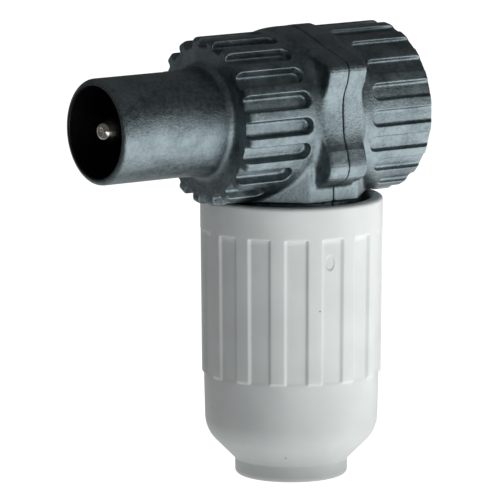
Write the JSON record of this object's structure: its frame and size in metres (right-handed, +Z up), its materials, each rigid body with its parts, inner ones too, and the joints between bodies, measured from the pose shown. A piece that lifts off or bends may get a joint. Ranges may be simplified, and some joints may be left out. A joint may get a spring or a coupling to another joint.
{
  "type": "right-angle coaxial plug",
  "caption": "Right-angle coaxial plug: a die-cast two-shell body with ribbed drums, a waisted flange and a contact pin, closed by a ribbed plastic cap nut over the cable clamp.",
  "frame": {"origin": "centre of the cable entry in the cap nut's bottom face", "axes": "+Z up along the cable's axis, -X along the plug's axis out of its mouth, +Y to the right when looking along +X"},
  "size_m": [0.0319, 0.0178, 0.041],
  "materials": {
    "casting": "dark gunmetal plating, semi-gloss",
    "contact": "nickel plated",
    "insulator": "natural white moulding",
    "nut": "light grey satin moulding",
    "clamp": "nickel plated"
  },
  "bodies": {
    "plug": {"front_shell": "casting", "rear_shell": "casting", "contact_pin": "contact", "terminal_screw": "contact", "front_insulator": "insulator", "rear_insulator": "insulator"},
    "cage": {"clamp_cage": "clamp"},
    "nut": {"cap_nut": "nut"}
  },
  "joints": [
    {"name": "nut_travel", "type": "slide", "parent": "plug", "child": "cage", "axis": [0, 0, -1], "range_m": [0, 0.0121]},
    {"name": "nut_turn", "type": "hinge", "parent": "cage", "child": "nut", "pos_m": [0, 0, 0.0128], "axis": [0, 0, -1], "range_deg": [0, 2880]}
  ],
  "couplings": [
    {"joint": "nut_travel", "follows": "nut_turn", "m_per_rad": 0.00023873}
  ]
}
